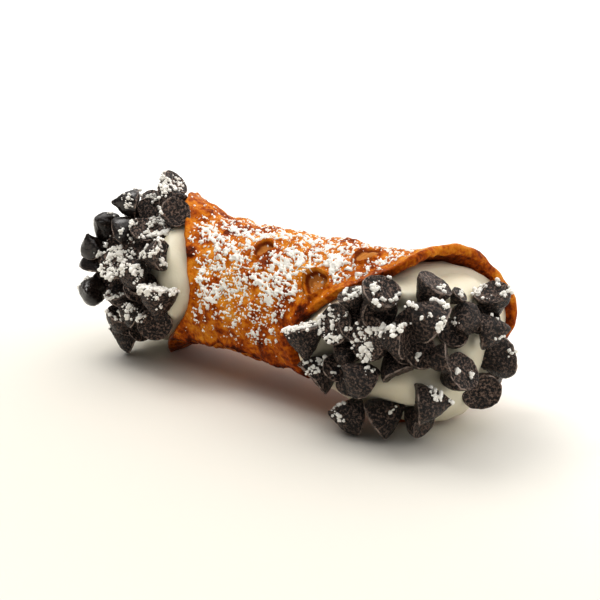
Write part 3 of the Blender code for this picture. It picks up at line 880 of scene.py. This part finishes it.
def make_tube_sugar(finish):
    """The sugar on the tube, as a relief whose edges run under the pastry's surface."""
    xs = np.arange(*SUGAR_ROWS, SUGAR_PITCH)
    clocks = np.arange(*SUGAR_CLOCKS, math.degrees(SUGAR_PITCH / (MID_RADIUS + 1.0)))
    x, clock = np.meshgrid(xs, clocks, indexing="ij")
    height = sugar_flakes(x, clock)
    points = on_roll(x, clock, outer_radius(x, clock) + height)
    faces = grid_faces(*x.shape, close_columns=False)
    faces = faces[height.ravel()[faces].max(axis=1) > BURIED + 0.01]
    used, renumbered = np.unique(faces, return_inverse=True)
    faces = renumbered.reshape(faces.shape)
    add_piece("sugar_on_tube", points.reshape(-1, 3)[used], faces, finish, "pastry")


def grain_shape(subdivisions):
    """Points and faces of a unit icosphere."""
    ball = bmesh.new()
    bmesh.ops.create_icosphere(ball, subdivisions=subdivisions, radius=1.0)
    points = np.array([vertex.co for vertex in ball.verts])
    faces = np.array([[vertex.index for vertex in face.verts] for face in ball.faces])
    ball.free()
    return points, faces


def tumbled(grains, rng):
    """Each grain's points, turned at random about its middle by a quaternion."""
    q = rng.normal(size=(len(grains), 1, 4))
    q /= np.linalg.norm(q, axis=-1, keepdims=True)
    w, axis = q[..., :1], q[..., 1:]
    return grains + 2.0 * np.cross(axis, np.cross(axis, grains) + w * grains)


def add_grains(name, centres, radii, finish, slot, seed, subdivisions=1):
    """Uneven grains, joined into one mesh."""
    rng = np.random.default_rng(seed)
    ball, faces = grain_shape(subdivisions)
    count = len(centres)
    squash = rng.uniform(*GRAIN_SQUASH, (count, 1, 3))
    bumps = rng.uniform(*GRAIN_BUMPS, (count, len(ball), 1))
    grains = tumbled(ball * squash * bumps, rng)
    points = np.asarray(centres)[:, None, :] + grains * np.asarray(radii)[:, None, None]
    all_faces = faces[None] + (np.arange(count) * len(ball))[:, None, None]
    add_piece(name, points.reshape(-1, 3), all_faces.reshape(-1, 3), finish, slot)


def make_loose_grains(finish):
    """Single grains between the clumps on the tube."""
    rng = np.random.default_rng(9)
    x = rng.uniform(-LOOSE_REACH, LOOSE_REACH, LOOSE_TRIES)
    clock = rng.uniform(*SUGAR_CLOCKS, LOOSE_TRIES)
    turn = np.abs(turn_between(clock, 0.0))
    chance = 0.10 * smoothstep((118.0 - turn) / 60.0) + 0.7 * sugar_cover(x, clock)
    kept = (rng.random(len(x)) < chance) & on_tube(x, clock, LOOSE_MARGIN)
    x, clock = x[kept], clock[kept]
    radii = rng.uniform(*LOOSE_SIZES, len(x))
    centres = on_roll(x, clock, outer_radius(x, clock) + 0.4 * radii)
    add_grains("sugar_grains_on_tube", centres, radii, finish, "pastry", 91)


def face_facts(chip):
    """The middle, area and unit normal of each of a chip's faces."""
    faces = np.array([face if len(face) == 4 else (*face, face[0]) for face in chip["faces"]])
    a, b, c, d = (chip["points"][faces[:, k]] for k in range(4))
    doubled = np.cross(c - a, d - b)
    area = 0.5 * np.linalg.norm(doubled, axis=1)
    normals = doubled / np.maximum(2.0 * area, 1e-9)[:, None]
    return 0.5 * (a + c), area, normals


def clump(start, normal, dusted, surface, rng):
    """Centres and radii of the grains that stick near one spot."""
    along = np.cross(normal, rng.normal(size=3))
    along /= np.linalg.norm(along)
    across = np.cross(normal, along)
    grains = []
    for _ in range(rng.integers(*CLUMP_GRAINS)):
        jitter = along * rng.normal(0.0, CLUMP_LENGTH) + across * rng.normal(0.0, CLUMP_WIDTH)
        place, upward = surface.find_nearest(Vector(start + jitter))[:2]
        if place is None or upward @ Vector(dusted) < 0.0:
            continue
        radius = mostly_small(rng, *GRAIN_SIZES)
        grains.append((np.array(place) + GRAIN_LIFT * radius * np.array(upward), radius))
    return grains


def grains_on_chips(chips, surface, rng):
    """Centres and radii of the grains that fell on these chips. The surface is that of all the chips."""
    dusted = np.array(DUSTED_FROM) / np.linalg.norm(DUSTED_FROM)
    grains = []
    for chip in chips:
        middles, area, normals = face_facts(chip)
        weight = area * smoothstep((normals @ dusted + 0.05) / 0.7)
        clumps = int(round(chip["sugar"] * weight.sum() / CLUMP_AREA))
        if clumps == 0:
            continue
        for pick in rng.choice(len(area), clumps, p=weight / weight.sum()):
            off_chip = middles[pick] + 0.3 * normals[pick]
            if surface.ray_cast(Vector(off_chip), Vector(dusted), SHELTER_REACH)[0] is None:
                grains += clump(middles[pick], normals[pick], dusted, surface, rng)
    return zip(*grains)


# --- Materials ---

class Nodes:
    """Short calls for the nodes of a material or world. A value is a number, a colour or a node's output."""

    def __init__(self, owner, shader="Principled BSDF", coordinates="Object"):
        owner.use_nodes = True
        self.owner = owner
        self.tree = owner.node_tree
        self.shader = self.tree.nodes[shader]
        self.place = self.tree.nodes.new("ShaderNodeTexCoord").outputs[coordinates]

    def feed(self, socket, value):
        if isinstance(value, (int, float)):
            socket.default_value = value
        elif isinstance(value, tuple):
            socket.default_value = value if socket.type == "VECTOR" else (*value, 1.0)
        else:
            self.tree.links.new(value, socket)

    def new(self, kind, **values):
        """A node with these inputs. In their names, a _ stands for a space."""
        node = self.tree.nodes.new(kind)
        for key, value in values.items():
            self.feed(node.inputs[key.replace("_", " ")], value)
        return node

    def noise(self, size_mm, detail=3.0, rough=0.55):
        node = self.new("ShaderNodeTexNoise", Scale=1.0 / (size_mm * MM), Detail=detail, Roughness=rough,
                        Vector=self.place)
        return node.outputs["Fac"]

    def bubbles(self, size_mm):
        """Rounded cells, highest in their middles."""
        node = self.new("ShaderNodeTexVoronoi", Scale=1.0 / (size_mm * MM), Vector=self.place)
        node.feature = "SMOOTH_F1"
        return self.math("SUBTRACT", 1.0, node.outputs["Distance"])

    def attribute(self, name):
        node = self.new("ShaderNodeAttribute")
        node.attribute_name = name
        return node.outputs["Fac"]

    def math(self, operation, first, second):
        node = self.new("ShaderNodeMath")
        node.operation = operation
        for socket, value in zip(node.inputs, (first, second)):
            self.feed(socket, value)
        return node.outputs[0]

    def spread(self, value, low, high, to_low=0.0, to_high=1.0, easing="SMOOTHSTEP"):
        """The value, stretched from one range to another and kept inside it."""
        node = self.new("ShaderNodeMapRange", From_Min=low, From_Max=high, To_Min=to_low, To_Max=to_high,
                        Value=value)
        node.interpolation_type = easing
        return node.outputs["Result"]

    def ramp(self, value, stops):
        node = self.new("ShaderNodeValToRGB", Fac=value)
        elements = node.color_ramp.elements
        while len(elements) < len(stops):
            elements.new(0.5)
        for element, (position, colour) in zip(elements, stops):
            element.position = position
            element.color = (*colour, 1.0)
        return node.outputs["Color"]

    def mix(self, amount, first, second):
        node = self.new("ShaderNodeMix", Factor=amount)
        node.data_type = "RGBA"
        sockets = [socket for socket in node.inputs if socket.type == "RGBA"]
        for socket, colour in zip(sockets, (first, second)):
            self.feed(socket, colour)
        return [socket for socket in node.outputs if socket.type == "RGBA"][0]

    def bump(self, height, depth_mm, before=None):
        node = self.new("ShaderNodeBump", Distance=depth_mm * MM, Height=height)
        if before is not None:
            self.feed(node.inputs["Normal"], before)
        return node.outputs["Normal"]

    def set(self, **values):
        """Feeds the shader's own inputs and returns the material or world."""
        for key, value in values.items():
            self.feed(self.shader.inputs[key.replace("_", " ")], value)
        return self.owner


def pastry_finish():
    """Fried dough: golden to red-brown, with small oily highlights, painted light round the top, and painted
    shade on the inner wall and on the walls of popped blisters.
    """
    nodes = Nodes(bpy.data.materials.new("pastry_look"))
    broad = nodes.spread(nodes.noise(4.0), 0.3, 0.7, -0.18, 0.18)
    small = nodes.spread(nodes.noise(1.1), 0.3, 0.7, -0.17, 0.17)
    # the browning attribute brings the painted light round the top and the painted shade on the inner wall
    brown = nodes.math("ADD", nodes.math("ADD", nodes.attribute("browning_and_painted_light"), broad), small)
    colour = nodes.ramp(brown, PASTRY_RAMP)
    # painted shade: the wall round a popped blister's hollow is darkened
    edge = nodes.spread(nodes.attribute("pale"), 0.10, 0.45)
    colour = nodes.mix(edge, colour, POPPED_WALL_SHADE_COLOUR)
    pale = nodes.spread(nodes.attribute("pale"), 0.65, 1.0, 0.0, 0.85)
    colour = nodes.mix(pale, colour, POPPED_FLOOR_COLOUR)
    normal = nodes.bump(nodes.bubbles(1.3), 0.25)
    normal = nodes.bump(nodes.noise(0.8, detail=4.0, rough=0.65), 0.30, normal)
    rough = nodes.spread(nodes.noise(2.0), 0.3, 0.7, 0.22, 0.40)
    return nodes.set(Base_Color=colour, Roughness=rough, Normal=normal, Specular_IOR_Level=0.08)


def cream_finish():
    nodes = Nodes(bpy.data.materials.new("cream_look"))
    colour = nodes.mix(nodes.noise(6.0), *CREAM_COLOURS)
    normal = nodes.bump(nodes.noise(1.2, detail=2.0), 0.06)
    return nodes.set(Base_Color=colour, Roughness=0.42, Normal=normal, Subsurface_Weight=0.2,
                     Subsurface_Radius=(0.004, 0.003, 0.002), Subsurface_Scale=0.4)


def chocolate_finish(name, rough, gloss, grainy, bumpy):
    """Dark chocolate with a grey-brown grain, strongest on the flat base, and a painted highlight in patches
    along the base's edge.
    """
    nodes = Nodes(bpy.data.materials.new(name))
    kind = nodes.attribute("flat")
    dark = nodes.mix(nodes.noise(2.2), *CHOCOLATE_COLOURS)
    grain = nodes.spread(nodes.noise(0.70, detail=5.0, rough=0.75), 0.48, 0.60)
    amount = nodes.math("MULTIPLY", grain, nodes.spread(kind, 0.0, 1.0, grainy, 1.0))
    colour = nodes.mix(amount, dark, CHOCOLATE_GRAIN_COLOUR)
    # painted highlight: a paler line in patches round the base's edge
    patches = nodes.spread(nodes.noise(1.8), 0.42, 0.58, 0.2, 1.0)
    edge_highlight = nodes.math("MULTIPLY", nodes.spread(kind, 1.3, 1.9), patches)
    colour = nodes.mix(edge_highlight, colour, CHOCOLATE_EDGE_HIGHLIGHT_COLOUR)
    normal = nodes.bump(nodes.noise(0.8, detail=5.0, rough=0.75), bumpy)
    return nodes.set(Base_Color=colour, Roughness=rough, Normal=normal, Specular_IOR_Level=gloss)


def sugar_finish():
    nodes = Nodes(bpy.data.materials.new("sugar_look"))
    colour = nodes.mix(nodes.noise(0.8), *SUGAR_COLOURS)
    normal = nodes.bump(nodes.noise(0.25, detail=3.0, rough=0.6), 0.05)
    return nodes.set(Base_Color=colour, Roughness=0.85, Normal=normal, Subsurface_Weight=0.15,
                     Subsurface_Radius=(0.001, 0.001, 0.001), Subsurface_Scale=0.5)


def floor_finish():
    """A matt floor that pales behind the object and all round it: painted light, with painted shade near the
    object.
    """
    nodes = Nodes(bpy.data.materials.new("floor_look"))
    split = nodes.new("ShaderNodeSeparateXYZ", Vector=nodes.place)
    behind = nodes.spread(split.outputs["Y"], *FLOOR_BEHIND)
    distance = nodes.new("ShaderNodeVectorMath")
    distance.operation = "LENGTH"
    nodes.feed(distance.inputs[0], nodes.place)
    away = nodes.spread(distance.outputs["Value"], *FLOOR_AWAY)
    colour = nodes.mix(nodes.math("MAXIMUM", behind, away), *FLOOR_COLOURS)
    return nodes.set(Base_Color=colour, Roughness=0.7, Specular_IOR_Level=0.2)


# --- The set ---

def add_floor():
    mesh = bpy.data.meshes.new("floor")
    corners = [(x * FLOOR_HALF, y * FLOOR_HALF, 0) for x, y in ((-1, -1), (1, -1), (1, 1), (-1, 1))]
    mesh.from_pydata(corners, [], [(0, 1, 2, 3)])
    mesh.materials.append(floor_finish())
    floor = add_object("floor", mesh)


def add_light(kind, name, place, size, power, colour):
    """A light that shines from a place towards the middle of the floor."""
    light = bpy.data.lights.new(name, kind)
    if kind == "SUN":
        light.angle = math.radians(size)
    else:
        light.size = size
    light.energy = power
    light.color = colour
    lamp = add_object(name, light)
    lamp.location = place
    lamp.rotation_euler = (-Vector(place)).to_track_quat("-Z", "Y").to_euler()


def add_world():
    """A world that is bright at the horizon and dimmer above."""
    nodes = Nodes(bpy.data.worlds.new("studio"), "Background", "Generated")
    height = nodes.new("ShaderNodeSeparateXYZ", Vector=nodes.place).outputs["Z"]
    strength = nodes.spread(height, *HORIZON_BAND, HORIZON_STRENGTH, SKY_STRENGTH, easing="LINEAR")
    bpy.context.scene.world = nodes.set(Color=WORLD_COLOUR, Strength=strength)


def add_camera():
    azimuth, elevation = math.radians(CAMERA_AZIMUTH), math.radians(CAMERA_ELEVATION)
    back = np.array((math.sin(azimuth) * math.cos(elevation), -math.cos(azimuth) * math.cos(elevation),
                     math.sin(elevation)))
    middle = SHIFT * (1.0, 1.0, 0.0)
    place = Vector((middle + (0.0, 0.0, CAMERA_FOCUS_HEIGHT) + CAMERA_DISTANCE * back) * MM)
    aim = Vector((middle + (0.0, 0.0, CAMERA_AIM_HEIGHT)) * MM)
    lens = bpy.data.cameras.new("camera")
    lens.lens = LENS
    lens.clip_start = CLIP_START
    camera = add_object("camera", lens)
    camera.location = place
    camera.rotation_euler = (aim - place).to_track_quat("-Z", "Y").to_euler()
    bpy.context.scene.camera = camera


def set_tones():
    view = bpy.context.scene.view_settings
    view.view_transform = "Standard"
    view.gamma = VIEW_GAMMA


SHIFT = frame_shift()
BLISTERS = blister_map()


def main():
    add_camera()
    for light in LIGHTS:
        add_light(*light)
    add_world()
    set_tones()
    add_floor()
    sugar = sugar_finish()
    make_shell(pastry_finish())
    dull = chocolate_finish("chocolate_look", rough=0.27, gloss=0.42, grainy=0.70, bumpy=0.7)
    glossy = chocolate_finish("chocolate_gloss_look", rough=0.10, gloss=0.7, grainy=0.12, bumpy=0.08)
    chips = make_chips(dull, glossy)
    chips += make_filler_chips(dull, "near", 1, NEAR_FILLERS)
    chips += make_filler_chips(dull, "far", -1, FAR_FILLERS)
    surface = BVHTree.FromPolygons(*joined(chips))
    make_cream(cream_finish(), chips)
    make_tube_sugar(sugar)
    make_loose_grains(sugar)
    rng = np.random.default_rng(10)
    for end, seed in (("near", 92), ("far", 93)):
        centres, radii = grains_on_chips([chip for chip in chips if chip["end"] == end], surface, rng)
        add_grains("sugar_on_%s_chips" % end, centres, radii, sugar, "chocolate", seed, 2)


main()
